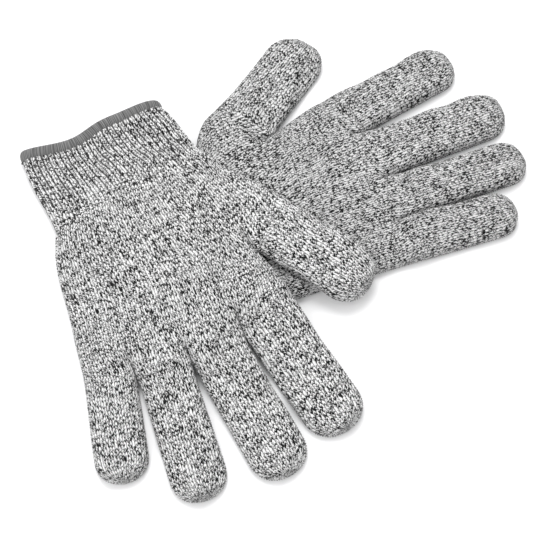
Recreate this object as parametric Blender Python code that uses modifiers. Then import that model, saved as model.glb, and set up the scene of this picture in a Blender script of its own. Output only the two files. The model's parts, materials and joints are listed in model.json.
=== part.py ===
"""A pair of seamless knitted cut resistant gloves, laid one across the other, palms up.

Each glove is modelled in its own frame: +Y runs from the cuff's mouth to the fingertips, the thumb
is on the -X side, and the palm faces up. The skin is one net of rings that runs up the cuff, over
the palm and out along the five stalls. The net is cut at the wrist and at every finger joint, and
each cut length becomes a sleeve of fabric of its own, thickened inwards.
"""

import math

import bmesh
import bpy
from mathutils import Matrix, Vector

MM = 0.001

# Fabric and gaps.
WALL = 1.4 * MM
JOINT_GAP = 1.0 * MM
FINGER_GAP = 1.2 * MM
WEB_DEPTH = 5.0 * MM

# Cuff: the mouth is at y = 0 and the wrist at y = CUFF_LENGTH.
CUFF_LENGTH = 52.0 * MM
MOUTH_WIDTH = 85.0 * MM
CUFF_TAPER = 2.7 * MM
CUFF_FLARE = 16.0 * MM
MOUTH_WAVE = 4.0 * MM
MOUTH_WAVE_SHIFT = 0.3
MOUTH_WAVE_SPAN = 1.1
CUFF_THICKNESS = 12.0 * MM
WRIST_THICKNESS = 12.0 * MM
PALM_THICKNESS = 13.0 * MM

# Overlocked hem round the mouth, and the elastic thread laid in behind the ribs.
HEM_RADIUS = 2.2 * MM
HEM_GAP = 0.8 * MM
ELASTIC_RADIUS = 0.4 * MM
ELASTIC_GAP = 0.8 * MM
ELASTIC_TURNS = 3
ELASTIC_MARGIN = 6.0 * MM
ELASTIC_EDGE_COLUMNS = 2

# Palm: its length to the fingers, and where the thumb leaves it. The under glove's thumb is
# pushed back towards its wrist.
PALM_LENGTH = 99.0 * MM
THUMB_RISE = 50.0 * MM
THUMB_OFFSET = 73.0 * MM
THUMB_PUSH = {"top": 0.0, "under": 9.0 * MM}
KNUCKLE_SPREAD = {"top": 15.5 * MM, "under": 15.0 * MM}
THUMB_EDGE_EASE = 0.6
PINKY_EDGE_EASE = 0.75

# Stalls: width, thickness, length from the knuckle, and how far the knuckle lies behind the
# middle finger's. The thumb's knuckle is placed by THUMB_RISE and THUMB_OFFSET.
STALLS = {
    "thumb": {"width": 36.0 * MM, "thickness": 11.5 * MM, "length": 60.0 * MM, "back": 0.0},
    "index": {"width": 31.0 * MM, "thickness": 11.5 * MM, "length": 71.5 * MM, "back": 9.0 * MM},
    "middle": {"width": 31.0 * MM, "thickness": 11.5 * MM, "length": 73.5 * MM, "back": 0.0},
    "ring": {"width": 29.0 * MM, "thickness": 11.0 * MM, "length": 69.0 * MM, "back": 0.5 * MM},
    "pinky": {"width": 27.5 * MM, "thickness": 10.5 * MM, "length": 53.0 * MM, "back": 6.5 * MM},
}
FINGERS = ("index", "middle", "ring", "pinky")
# Where the joints cross a stall, as shares of its length: the lengths of a hand's own bones.
FINGER_CUTS = (0.42, 0.70)
THUMB_CUTS = (0.48,)
SEGMENTS = {2: ("base", "middle", "tip"), 1: ("base", "tip")}
TIP_TAPER = 0.06

# Splay of each stall from the glove's +Y, in degrees, positive away from the thumb.
SPLAYS = {
    "top": {"thumb": -34.0, "index": -12.5, "middle": -6.5, "ring": 4.0, "pinky": 12.0},
    "under": {"thumb": -31.0, "index": -9.5, "middle": 1.0, "ring": 4.5, "pinky": 7.0},
}

# The under glove's mouth, in the top glove's frame. The under glove runs along the top one's -X.
UNDER_MOUTH = Vector((2.0 * MM, 94.0 * MM))
LAY_CLEARANCE = 0.8 * MM
DRAPE_REACH = 42.0 * MM

# The net: columns in each of the five lanes, rows to the thumb's web and on to the fingers' webs.
LANE_COLUMNS = 4
CUFF_ROWS = 3
LOW_PALM_ROWS = 4
HIGH_PALM_ROWS = 3
LAST_COLUMN = LANE_COLUMNS * len(STALLS)
TIP_TURNS = (0.0, 30.0, 55.0, 75.0)

# A stall's section, as (place across, height) from -1 to 1 and 0 to 1: flat below, round above.
SECTION_TOP = ((-0.86, 0.62), (-0.5, 0.93), (0.0, 1.0), (0.5, 0.93), (0.86, 0.62))
SECTION_SIDE_HEIGHT = 0.33
SECTION_FOOT_HEIGHT = 0.07
EDGE_INSET = 2.2 * MM
# The palm's section: its height at the edges, as a share of its thickness, and how far each row
# has parted into the stalls' own sections.
PALM_EDGE_HEIGHT = 0.62
LOW_ROW_SPLITS = (0.0, 0.0, 0.15, 0.5, 1.0)
HIGH_ROW_SPLITS = (0.0, 0.15, 0.5, 1.0)

COLOURS = {
    "knit": ((0.52, 0.52, 0.53, 1.0), 0.9),
    "hem": ((0.20, 0.20, 0.21, 1.0), 0.8),
    "elastic": ((0.75, 0.75, 0.74, 1.0), 0.7),
}


def smooth(t):
    t = min(max(t, 0.0), 1.0)
    return t * t * (3.0 - 2.0 * t)


def mix(a, b, t):
    return a + (b - a) * t


def wrist_sides():
    """x of the wrist's thumb side and pinky side."""
    return -MOUTH_WIDTH / 2 - CUFF_FLARE, MOUTH_WIDTH / 2 - CUFF_TAPER


def stall_frame(glove, name):
    """(knuckle, direction along the stall, direction across it towards the pinky), in plan."""
    angle = math.radians(SPLAYS[glove][name])
    along = Vector((math.sin(angle), math.cos(angle)))
    across = Vector((math.cos(angle), -math.sin(angle)))
    if name == "thumb":
        return Vector((-THUMB_OFFSET, CUFF_LENGTH + THUMB_RISE - THUMB_PUSH[glove])), along, across
    return Vector((knuckle_x(glove, name), knuckle_y(name))), along, across


def knuckle_y(name):
    return CUFF_LENGTH + PALM_LENGTH + WEB_DEPTH - STALLS[name]["back"]


def plan_width(glove, name):
    return STALLS[name]["width"] * math.cos(math.radians(SPLAYS[glove][name]))


def knuckle_x(glove, name):
    """The knuckles stand side by side, FINGER_GAP apart, in a row that ends over the wrist's
    pinky side plus KNUCKLE_SPREAD."""
    widths = [plan_width(glove, other) for other in FINGERS]
    row = sum(widths) + FINGER_GAP * (len(FINGERS) - 1)
    place = FINGERS.index(name)
    start = wrist_sides()[1] + KNUCKLE_SPREAD[glove] - row
    return start + sum(widths[:place]) + place * FINGER_GAP + widths[place] / 2


def stall_point(glove, name, across, along):
    """A point in plan, by shares of half the width across and a distance from the knuckle."""
    knuckle, forward, side = stall_frame(glove, name)
    return knuckle + side * (across * STALLS[name]["width"] / 2) + forward * along


def crotch(glove, near, far):
    """The bottom of the web between two stalls; near is on the thumb's side."""
    corner = (stall_point(glove, near, 1.0, 0.0) + stall_point(glove, far, -1.0, 0.0)) / 2
    return corner - Vector((0.0, WEB_DEPTH))


def thumb_crotch(glove):
    """The bottom of the thumb's web, beside the thumb's inner corner."""
    return stall_point(glove, "thumb", 1.0, -WEB_DEPTH) + Vector((FINGER_GAP, 0.0))


def lane_of(column):
    """(lane's stall name, column in the lane) of a column of the palm; a border belongs to both."""
    names = ("thumb",) + FINGERS
    lane = min(column // LANE_COLUMNS, len(names) - 1)
    return names[lane], column - lane * LANE_COLUMNS


def web_row_point(glove, column):
    """A column's point in plan on the row through the fingers' webs."""
    name, place = lane_of(column)
    lane = FINGERS.index(name)
    if place == 0 and lane > 0:
        return crotch(glove, FINGERS[lane - 1], name)
    return stall_point(glove, name, 2.0 * place / LANE_COLUMNS - 1.0, -WEB_DEPTH)


def thumb_row_point(glove, column):
    """A column's point in plan on the row through the thumb's web and across the palm."""
    if column < LANE_COLUMNS:
        return stall_point(glove, "thumb", 2.0 * column / LANE_COLUMNS - 1.0, -WEB_DEPTH)
    start = thumb_crotch(glove)
    pinky_edge = web_row_point(glove, LAST_COLUMN)
    share = (column - LANE_COLUMNS) / (LAST_COLUMN - LANE_COLUMNS)
    rise = (start.y - CUFF_LENGTH) / (pinky_edge.y - CUFF_LENGTH)
    end = Vector((mix(wrist_sides()[1], pinky_edge.x, rise**PINKY_EDGE_EASE), start.y))
    return start.lerp(end, share)


def wrist_row_point(column):
    left, right = wrist_sides()
    return Vector((mix(left, right, column / LAST_COLUMN), CUFF_LENGTH))


def palm_height(column, first):
    """Height of the palm's upper side at a column, as a share of its thickness."""
    across = 2.0 * (column - first) / (LAST_COLUMN - first) - 1.0
    return mix(1.0, PALM_EDGE_HEIGHT, across**4)


def edge_shift(column, first):
    """The outermost columns stand a little inside the edge, where the side points are."""
    if column == first:
        return EDGE_INSET
    return -EDGE_INSET if column == LAST_COLUMN else 0.0


def low_palm_plan(glove, row, column):
    """A column's point in plan on a row between the wrist and the thumb's web."""
    share = row / LOW_PALM_ROWS
    start, end = wrist_row_point(column), thumb_row_point(glove, column)
    ease = mix(THUMB_EDGE_EASE, PINKY_EDGE_EASE, column / LAST_COLUMN)
    return Vector((mix(start.x, end.x, share**ease), mix(start.y, end.y, share)))


def high_palm_plan(glove, row, column):
    """A column's point in plan on a row between the thumb's web and the fingers' webs."""
    share = row / HIGH_PALM_ROWS
    return thumb_row_point(glove, column).lerp(web_row_point(glove, column), share)


def palm_ring(plan, first, thickness, splits):
    """The palm's ring over points in plan: (thumb-side point, upper points, pinky-side point,
    lower points). splits says how far each column has taken its stall's own section."""
    upper, lower = [], []
    for column, (flat, split) in enumerate(zip(plan, splits), first):
        name, place = lane_of(column)
        own = SECTION_TOP[place][1] * STALLS[name]["thickness"]
        height = mix(palm_height(column, first) * thickness, own, split)
        foot = SECTION_FOOT_HEIGHT * thickness if column in (first, LAST_COLUMN) else 0.0
        if place in (0, LANE_COLUMNS):
            foot = max(foot, SECTION_FOOT_HEIGHT * thickness * split)
        x = flat.x + edge_shift(column, first)
        upper.append(Vector((x, flat.y, height)))
        lower.append(Vector((x, flat.y, foot)))
    side = Vector((0.0, 0.0, SECTION_SIDE_HEIGHT * thickness))
    return plan[0].to_3d() + side, upper, plan[-1].to_3d() + side, lower


def low_palm_ring(glove, row):
    """The ring at a row up to the thumb's web, where only the thumb's lane parts."""
    columns = range(LAST_COLUMN + 1)
    plan = [low_palm_plan(glove, row, column) for column in columns]
    thickness = mix(WRIST_THICKNESS, PALM_THICKNESS, smooth(row / LOW_PALM_ROWS))
    splits = [LOW_ROW_SPLITS[row] if column <= LANE_COLUMNS else 0.0 for column in columns]
    return palm_ring(plan, 0, thickness, splits)


def high_palm_ring(glove, row):
    """The ring of the four fingers' lanes at a row from the thumb's web to the fingers' webs."""
    columns = range(LANE_COLUMNS, LAST_COLUMN + 1)
    plan = [high_palm_plan(glove, row, column) for column in columns]
    return palm_ring(plan, LANE_COLUMNS, PALM_THICKNESS, [HIGH_ROW_SPLITS[row]] * len(plan))


def mouth_wave(across):
    """How far the mouth's edge stands back at a place across it, from -1 to 1."""
    turn = math.pi * (across + MOUTH_WAVE_SHIFT) / MOUTH_WAVE_SPAN
    return MOUTH_WAVE * (0.5 + math.sin(turn))


def cuff_points(row):
    """The cuff's ring at a row, from the mouth to the wrist."""
    share = row / CUFF_ROWS
    left = -MOUTH_WIDTH / 2 - CUFF_FLARE * share**2
    right = MOUTH_WIDTH / 2 - CUFF_TAPER * share
    lift = (HEM_RADIUS - WALL / 2) * (1.0 - share) ** 2
    thickness = mix(CUFF_THICKNESS, WRIST_THICKNESS, share) - lift
    length = CUFF_LENGTH - JOINT_GAP
    upper, lower = [], []
    for column in range(LAST_COLUMN + 1):
        x = mix(left, right, column / LAST_COLUMN) + edge_shift(column, 0)
        y = mix(mouth_wave(2.0 * column / LAST_COLUMN - 1.0), length, share)
        foot = SECTION_FOOT_HEIGHT * thickness if column in (0, LAST_COLUMN) else 0.0
        upper.append(Vector((x, y, lift + palm_height(column, 0) * thickness)))
        lower.append(Vector((x, y, lift + foot)))
    side = lift + SECTION_SIDE_HEIGHT * thickness
    return Vector((left, upper[0].y, side)), upper, Vector((right, upper[-1].y, side)), lower


def stall_ring(glove, name, along, shrink):
    """A closed ring of points round a stall, at a distance from the knuckle."""
    stall = STALLS[name]
    width = shrink * (1.0 - TIP_TAPER * max(along, 0.0) / stall["length"])
    thickness = stall["thickness"] * math.sqrt(shrink)
    base = stall["thickness"] * SECTION_SIDE_HEIGHT * (1.0 - math.sqrt(shrink))

    def point(across, height):
        flat = stall_point(glove, name, across * width, along)
        return Vector((flat.x, flat.y, base + height * thickness))

    upper = [point(across, height) for across, height in SECTION_TOP]
    feet = [SECTION_FOOT_HEIGHT] + [0.0] * (len(SECTION_TOP) - 2) + [SECTION_FOOT_HEIGHT]
    lower = [point(across, foot) for (across, _), foot in zip(SECTION_TOP, feet)]
    ends = point(-1.0, SECTION_SIDE_HEIGHT), point(1.0, SECTION_SIDE_HEIGHT)
    return [ends[0], *upper, ends[1], *reversed(lower)]


def closed_ring(left, upper, right, lower):
    return [left, *upper, right, *reversed(lower)]


def bridge(lower_ring, upper_ring):
    """Quads between two rings of the same count, facing out."""
    count = len(lower_ring)
    faces = []
    for i in range(count):
        j = (i + 1) % count
        faces.append([lower_ring[i], lower_ring[j], upper_ring[j], upper_ring[i]])
    return faces


def fan(ring, pole):
    return [[ring[i], ring[(i + 1) % len(ring)], pole] for i in range(len(ring))]


def side_point(point, name):
    """The point over or under another at the height of the named stall's side."""
    return Vector((point.x, point.y, SECTION_SIDE_HEIGHT * STALLS[name]["thickness"]))


def collar_faces(glove, ring):
    """From the ring through the fingers' webs to the start of each finger."""
    left, upper, right, lower = ring
    webs = [side_point(point, "ring") for point in upper[LANE_COLUMNS:-1:LANE_COLUMNS]]
    sides = [left, *webs, right]
    faces = []
    for lane, name in enumerate(FINGERS):
        start, end = lane * LANE_COLUMNS, (lane + 1) * LANE_COLUMNS + 1
        around = closed_ring(sides[lane], upper[start:end], sides[lane + 1], lower[start:end])
        faces += bridge(around, stall_ring(glove, name, -JOINT_GAP / 2, 1.0))
    return faces


def palm_faces(glove):
    """The palm's skin: rows up to the thumb's web, on to the fingers' webs, and five collars."""
    faces = []
    rings = [low_palm_ring(glove, row) for row in range(LOW_PALM_ROWS + 1)]
    for below, above in zip(rings, rings[1:]):
        faces += bridge(closed_ring(*below), closed_ring(*above))
    left, upper, right, lower = rings[-1]
    web = side_point(upper[LANE_COLUMNS], "thumb")
    thumb_side = closed_ring(left, upper[: LANE_COLUMNS + 1], web, lower[: LANE_COLUMNS + 1])
    faces += bridge(thumb_side, stall_ring(glove, "thumb", -JOINT_GAP / 2, 1.0))
    below = closed_ring(web, upper[LANE_COLUMNS:], right, lower[LANE_COLUMNS:])
    for row in range(1, HIGH_PALM_ROWS + 1):
        ring = high_palm_ring(glove, row)
        above = closed_ring(*ring)
        faces += bridge(below, above)
        below = above
    return faces + collar_faces(glove, ring)


def cuff_faces():
    rings = [closed_ring(*cuff_points(row)) for row in range(CUFF_ROWS + 1)]
    faces = []
    for below, above in zip(rings, rings[1:]):
        faces += bridge(below, above)
    return faces


def stall_cuts(name):
    """Distances from the knuckle to the stall's further joints."""
    shares = THUMB_CUTS if name == "thumb" else FINGER_CUTS
    return [share * STALLS[name]["length"] for share in shares]


def segment_faces(glove, name, start, end):
    """A length of stall between two joints; without an end it closes over the fingertip."""
    if end is not None:
        stations = [(start, 1.0), ((start + end) / 2, 1.0), (end, 1.0)]
    else:
        stall = STALLS[name]
        radius = stall["width"] / 2 * (1.0 - TIP_TAPER)
        shoulder = stall["length"] - radius
        stations = [(start, 1.0)]
        for turn in TIP_TURNS:
            angle = math.radians(turn)
            stations.append((shoulder + radius * math.sin(angle), math.cos(angle)))
    rings = [stall_ring(glove, name, along, shrink) for along, shrink in stations]
    faces = []
    for below, above in zip(rings, rings[1:]):
        faces += bridge(below, above)
    if end is None:
        pole = stall_point(glove, name, 0.0, STALLS[name]["length"])
        faces += fan(rings[-1], side_point(pole, name))
    return faces


def under_edges(along):
    """x of the under glove's thumb side and pinky side at a distance from its mouth."""
    left, right = wrist_sides()
    if along <= CUFF_LENGTH:
        share = max(along, 0.0) / CUFF_LENGTH
        return mix(-MOUTH_WIDTH / 2, left, share**2), mix(MOUTH_WIDTH / 2, right, share)
    thumb_edge = stall_point("under", "thumb", -1.0, 0.0)
    pinky_edge = stall_point("under", "pinky", 1.0, 0.0)
    share = (along - CUFF_LENGTH) / (thumb_edge.y - CUFF_LENGTH)
    rise = min((along - CUFF_LENGTH) / (pinky_edge.y - CUFF_LENGTH), 1.0)
    outer = mix(left, thumb_edge.x, min(share, 1.0) ** THUMB_EDGE_EASE)
    return outer, mix(right, pinky_edge.x, rise**PINKY_EDGE_EASE)


def drape(x, y):
    """How high the top glove is carried by the under glove, at a point of the top glove's plan."""
    across, along = y - UNDER_MOUTH.y, UNDER_MOUTH.x - x
    left, right = under_edges(along)
    beside = max(left - across, across - right, 0.0)
    before = max(-along - 2 * HEM_RADIUS - HEM_GAP - MOUTH_WAVE / 2, 0.0)
    mouth = CUFF_THICKNESS + HEM_RADIUS
    height = mix(mouth, PALM_THICKNESS, smooth((along - CUFF_LENGTH / 2) / CUFF_LENGTH))
    nearness = 1.0 - math.hypot(beside, before) / DRAPE_REACH
    return (height + LAY_CLEARANCE) * smooth(nearness)


def laid(glove, point):
    """A point of the glove's net as it lies: the top glove is carried over the under one."""
    if glove == "under":
        return point.copy()
    return point + Vector((0.0, 0.0, drape(point.x, point.y)))


def material(name):
    """The named Principled material, made once."""
    if name in bpy.data.materials:
        return bpy.data.materials[name]
    made = bpy.data.materials.new(name)
    made.use_nodes = True
    colour, roughness = COLOURS[name]
    shader = made.node_tree.nodes["Principled BSDF"]
    shader.inputs["Base Color"].default_value = colour
    shader.inputs["Roughness"].default_value = roughness
    shader.inputs["Metallic"].default_value = 0.0
    made.diffuse_color = colour
    return made


def add_object(name, data, slot, collection, holder):
    """Links an object whose data is in its holder's frame."""
    made = bpy.data.objects.new(name, data)
    data.materials.append(material(slot))
    collection.objects.link(made)
    made.parent = holder
    return made


def add_sleeve(name, faces, glove, collection, holder, frame):
    """A closed sleeve of fabric from a skin of faces, thickened inwards by the wall."""
    mesh = bpy.data.meshes.new(name)
    net = bmesh.new()
    known = {}
    back = frame.inverted()
    for face in faces:
        corners = []
        for point in face:
            key = tuple(round(value / MM, 4) for value in point)
            if key not in known:
                known[key] = net.verts.new(back @ laid(glove, point))
            corners.append(known[key])
        net.faces.new(corners)
    net.normal_update()
    net.to_mesh(mesh)
    net.free()
    sleeve = add_object(name, mesh, "knit", collection, holder)
    wall = sleeve.modifiers.new("wall", "SOLIDIFY")
    wall.thickness = WALL
    wall.offset = -1.0
    mesh.shade_smooth()
    return sleeve


def add_joint(name, parent, parent_frame, frame, collection):
    """An empty on a joint's axis, whose own X is the axis."""
    empty = bpy.data.objects.new(name, None)
    empty.empty_display_size = 5 * MM
    collection.objects.link(empty)
    empty.parent = parent
    empty.matrix_local = parent_frame.inverted() @ frame
    return empty


def hinge_frame(glove, centre, across, ring):
    """A frame on the top of a ring of fabric, with X across the stall."""
    top = max(laid(glove, point).z for point in ring)
    x_axis = across.to_3d().normalized()
    y_axis = Vector((0.0, 0.0, 1.0)).cross(x_axis)
    turn = Matrix((x_axis, y_axis, (0.0, 0.0, 1.0))).transposed().to_4x4()
    return Matrix.Translation((centre.x, centre.y, top)) @ turn


def add_stall(glove, name, collection, holder, holder_frame):
    """A stall's lengths of sleeve, each hung on a hinge across the top of the one before."""
    cuts = [0.0, *stall_cuts(name)]
    names = SEGMENTS[len(cuts) - 1]
    joints = ("knuckle",) + tuple(f"{part}_joint" for part in names[1:])
    across = stall_frame(glove, name)[2]
    for i, (cut, part, joint) in enumerate(zip(cuts, names, joints)):
        ring = stall_ring(glove, name, cut - JOINT_GAP, 1.0)
        ring += stall_ring(glove, name, cut + JOINT_GAP, 1.0)
        frame = hinge_frame(glove, stall_point(glove, name, 0.0, cut), across, ring)
        holder = add_joint(f"{glove}_{name}_{joint}", holder, holder_frame, frame, collection)
        holder_frame = frame
        end = cuts[i + 1] - JOINT_GAP / 2 if i + 1 < len(cuts) else None
        faces = segment_faces(glove, name, cut + JOINT_GAP / 2, end)
        add_sleeve(f"{glove}_{name}_{part}", faces, glove, collection, holder, frame)


def add_tube(name, points, radius, roundness, cyclic, slot, collection, holder, frame):
    """A round cord along a polyline, on a holder that stands at frame."""
    curve = bpy.data.curves.new(name, "CURVE")
    curve.dimensions = "3D"
    curve.bevel_depth = radius
    curve.bevel_resolution = roundness
    curve.use_fill_caps = not cyclic
    spline = curve.splines.new("POLY")
    spline.points.add(len(points) - 1)
    back = frame.inverted()
    for knot, point in zip(spline.points, points):
        knot.co = (back @ point).to_4d()
    spline.use_cyclic_u = cyclic
    return add_object(name, curve, slot, collection, holder)


def inset_ring(ring, distance, back):
    """A cuff ring drawn in by a distance, square to its own run, and moved back along the cuff."""
    count = len(ring)
    points = []
    for i, point in enumerate(ring):
        run = ring[(i + 1) % count] - ring[i - 1]
        inward = Vector((run.z, 0.0, -run.x)).normalized()
        points.append(point + inward * distance - Vector((0.0, back, 0.0)))
    return points


def add_hem(glove, collection, holder, frame):
    """The overlocked edge: a round binding that closes on itself round the mouth."""
    ring = inset_ring(closed_ring(*cuff_points(0)), WALL / 2, HEM_RADIUS + HEM_GAP)
    points = [laid(glove, point) for point in ring]
    name = f"{glove}_hem"
    return add_tube(name, points, HEM_RADIUS, 2, True, "hem", collection, holder, frame)


def elastic_loop(row):
    """A flat loop inside the cuff at a row, clear of its wall by ELASTIC_GAP or more."""
    depth = WALL + ELASTIC_RADIUS + ELASTIC_GAP
    left, upper, right, lower = cuff_points(row)
    across = Vector((EDGE_INSET + depth, 0.0, 0.0))
    columns = range(ELASTIC_EDGE_COLUMNS, LAST_COLUMN + 1 - ELASTIC_EDGE_COLUMNS)
    above = [upper[column] - Vector((0.0, 0.0, depth)) for column in columns]
    below = [lower[column] + Vector((0.0, 0.0, depth)) for column in columns]
    return [left + across, *above, right - across, *reversed(below)]


def add_elastic(glove, collection, holder, frame):
    """One elastic thread wound round inside the cuff, from near the mouth to near the wrist."""
    loops = [[laid(glove, point) for point in elastic_loop(row)] for row in range(CUFF_ROWS + 1)]
    count = len(loops[0])
    points = []
    for i in range(ELASTIC_TURNS * count + 1):
        margin = ELASTIC_MARGIN / CUFF_LENGTH
        row = mix(margin, 1.0 - margin, i / (ELASTIC_TURNS * count)) * CUFF_ROWS
        near, far = loops[int(row)][i % count], loops[int(row) + 1][i % count]
        points.append(near.lerp(far, row - int(row)))
    name = f"{glove}_cuff_elastic"
    return add_tube(name, points, ELASTIC_RADIUS, 0, False, "elastic", collection, holder, frame)


def add_glove(glove, placement, root, collection):
    """One glove: its palm on an empty, its cuff on the wrist hinge, and its five stalls."""
    identity = Matrix.Identity(4)
    palm = bpy.data.objects.new(f"{glove}_glove", None)
    palm.empty_display_size = 20 * MM
    collection.objects.link(palm)
    palm.parent = root
    palm.matrix_local = placement
    add_sleeve(f"{glove}_palm", palm_faces(glove), glove, collection, palm, identity)
    ring = closed_ring(*cuff_points(CUFF_ROWS)) + closed_ring(*low_palm_ring(glove, 0))
    centre = Vector((sum(wrist_sides()) / 2, CUFF_LENGTH))
    frame = hinge_frame(glove, centre, Vector((1.0, 0.0)), ring)
    wrist = add_joint(f"{glove}_wrist", palm, identity, frame, collection)
    add_sleeve(f"{glove}_cuff", cuff_faces(), glove, collection, wrist, frame)
    add_hem(glove, collection, wrist, frame)
    add_elastic(glove, collection, wrist, frame)
    for name in STALLS:
        add_stall(glove, name, collection, palm, identity)


def world_bounds(objects):
    """Lowest and highest corner of the evaluated objects."""
    graph = bpy.context.evaluated_depsgraph_get()
    low, high = Vector((math.inf,) * 3), Vector((-math.inf,) * 3)
    for item in objects:
        shown = item.evaluated_get(graph)
        mesh = shown.to_mesh()
        for vertex in mesh.vertices:
            point = shown.matrix_world @ vertex.co
            low = Vector(map(min, low, point))
            high = Vector(map(max, high, point))
        shown.to_mesh_clear()
    return low, high


def build():
    for old in list(bpy.data.objects):
        bpy.data.objects.remove(old, do_unlink=True)
    collection = bpy.data.collections.new("cut_resistant_gloves")
    bpy.context.scene.collection.children.link(collection)
    root = bpy.data.objects.new("glove_pair", None)
    collection.objects.link(root)
    half_turn = Matrix.Rotation(math.pi, 4, "Z")
    under_place = Matrix.Translation(UNDER_MOUTH.to_3d()) @ Matrix.Rotation(math.pi / 2, 4, "Z")
    add_glove("under", half_turn @ under_place, root, collection)
    add_glove("top", half_turn, root, collection)
    bpy.context.view_layer.update()
    solids = [item for item in collection.objects if item.type in ("MESH", "CURVE")]
    low, high = world_bounds(solids)
    root.location = (-(low.x + high.x) / 2, -(low.y + high.y) / 2, -low.z)
    bpy.context.view_layer.update()


build()
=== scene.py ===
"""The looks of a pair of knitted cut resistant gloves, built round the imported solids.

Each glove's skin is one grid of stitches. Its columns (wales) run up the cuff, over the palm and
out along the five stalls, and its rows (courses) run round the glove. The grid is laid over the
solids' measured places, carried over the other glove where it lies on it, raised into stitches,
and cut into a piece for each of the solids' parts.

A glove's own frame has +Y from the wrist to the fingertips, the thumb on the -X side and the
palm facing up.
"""

import json
import math

import bpy  # noqa: E402
import numpy as np  # noqa: E402
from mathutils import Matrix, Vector  # noqa: E402


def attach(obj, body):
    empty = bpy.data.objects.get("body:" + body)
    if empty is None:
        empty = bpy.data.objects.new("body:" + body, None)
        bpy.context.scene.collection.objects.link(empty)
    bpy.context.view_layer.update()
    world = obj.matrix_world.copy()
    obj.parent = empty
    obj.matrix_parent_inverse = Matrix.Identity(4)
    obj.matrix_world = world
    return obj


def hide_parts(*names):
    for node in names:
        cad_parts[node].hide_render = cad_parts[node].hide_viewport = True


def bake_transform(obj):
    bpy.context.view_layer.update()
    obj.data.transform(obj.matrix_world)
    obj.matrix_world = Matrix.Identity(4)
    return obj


MM = 0.001

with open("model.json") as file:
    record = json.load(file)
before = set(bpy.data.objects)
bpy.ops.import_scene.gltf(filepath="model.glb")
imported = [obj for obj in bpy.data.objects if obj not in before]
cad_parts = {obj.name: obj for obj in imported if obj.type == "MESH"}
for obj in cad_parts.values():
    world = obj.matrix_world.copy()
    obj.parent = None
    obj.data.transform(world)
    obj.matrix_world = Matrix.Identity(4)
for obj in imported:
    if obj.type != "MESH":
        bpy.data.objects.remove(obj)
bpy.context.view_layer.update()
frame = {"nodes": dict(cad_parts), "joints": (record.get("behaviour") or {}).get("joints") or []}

# The glove's frame in the row's frame: its +X and its +Y.
AXES = {
    "under": ((0.0, -1.0), (1.0, 0.0)),
    "top": ((-1.0, 0.0), (0.0, -1.0)),
}
FINGERS = ("index", "middle", "ring", "pinky")
LANES = ("thumb",) + FINGERS
PARTS = {"thumb": ("base", "tip")} | {name: ("base", "middle", "tip") for name in FINGERS}

# The knit: wales across one side of a stall, the height of a course, and the mesh's columns to a
# wale and rows to a course.
WALES = 18
COURSE = 1.35 * MM
WALE_COLUMNS = 3
COURSE_ROWS = 2
COLUMNS = WALES * WALE_COLUMNS
STITCH_RELIEF = 0.28 * MM
# The back's columns are counted from here.
SIDE_STEP = 400

# The yarn's columns to a wale of the mesh, by region: the knit is drawn in at the cuff.
COLUMN_RATE = {"cuff": 0.6, "low": 0.9, "high": 1.14, "stall": 1.28}

# The ribs of the cuff are two columns wide. They fade over these courses from the mouth.
RIB_RELIEF = 0.60 * MM
RIB_FADE = (20.0, 42.0)

# How far a stitch's leg rises from the wale's middle to its edge, in courses to a half wale, and
# the yarn's shades against the noise that picks them.
LEG_SLOPE = 1.6
YARN_SHADES = [(0.0, 0.002), (0.33, 0.01), (0.44, 0.28), (0.56, 0.68), (1.0, 0.86)]
# How light each glove's yarn is against those shades: the under glove's yarn is painted darker, as
# painted shade.
YARN_PAINTED_SHADE = {"top": 1.0, "under": 0.86}
# How much each scale of marl weighs: single stitches, runs of strand, and whole rows.
STITCH_RATE = 2.3
STITCH_SHARE = 0.95
STRAND_SHARE = 0.15
ROW_SHARE = 0.62
# How deep the painted shade lies in the valleys between the columns and between the cuff's ribs.
COLUMN_PAINTED_SHADE = 0.72
RIB_PAINTED_SHADE = 0.85
# How fast each kind of noise changes, across and up: strand by legs and courses, rows and the
# ribs' patches by wales and courses.
NOISE_DETAIL = 2.0
STRAND_RATES = (0.8, 0.8)
ROW_RATES = (0.12, 0.8)
PATCH_RATES = (0.22, 0.16)
# Where a column's edge and a rib's edge darken with painted shade, as shares of its width from
# its middle, and which part of the patches' noise lets the painted shade in the ribs' valleys
# show.
COLUMN_EDGE = (0.22, 0.5)
RIB_EDGE = (0.28, 0.48)
RIB_PATCH = (0.16, 0.48)
# The yarn's plies: their slant across a leg, and their turn to a course.
PLY_SLANT = 0.5
PLY_TURN = 6.0 * math.pi
# Bumps are a strength and a distance.
KNIT_ROUGHNESS = 0.85
KNIT_SPECULAR = 0.25
KNIT_SHEEN = 0.10
KNIT_BUMP = (0.35, 0.12 * MM)

HEM_SHADES = [(0.35, 0.03), (0.5, 0.10), (0.65, 0.22)]
HEM_RATES = (1.7, 0.7)
HEM_SLANT = 0.6
HEM_ROUGHNESS = 0.75
HEM_SHEEN = 0.15
HEM_BUMP = (0.5, 0.15 * MM)

ELASTIC_SHADES = [(0.3, 0.42), (0.7, 0.72)]
ELASTIC_GRAIN = 2500.0
ELASTIC_ROUGHNESS = 0.7

# The hem's thread-wound roll.
HEM_RADIUS = 2.5 * MM
HEM_WIDTH = 3.8 * MM
HEM_SETBACK = 1.4 * MM
HEM_INSET = 1.3 * MM
HEM_SIDES = 16
THREAD_PITCH = 0.8 * MM
THREAD_RELIEF = 0.10 * MM
THREAD_RINGS = 3

ELASTIC_TURNS = 3
ELASTIC_RADIUS = 0.4 * MM
ELASTIC_DEPTH = 2.6 * MM
ELASTIC_MARGIN = 0.14
ELASTIC_STEPS = 120
# How many times further the elastic stays off the cuff's sides than off its faces.
ELASTIC_SIDE = 1.5

# Webs and cuts.
WEB_DEPTH = 5.0 * MM
THUMB_WEB = {"top": 1.0 * MM, "under": 4.0 * MM}
FINGER_GAP = 1.2 * MM
WRIST_OVERLAP = 12.0 * MM

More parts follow.
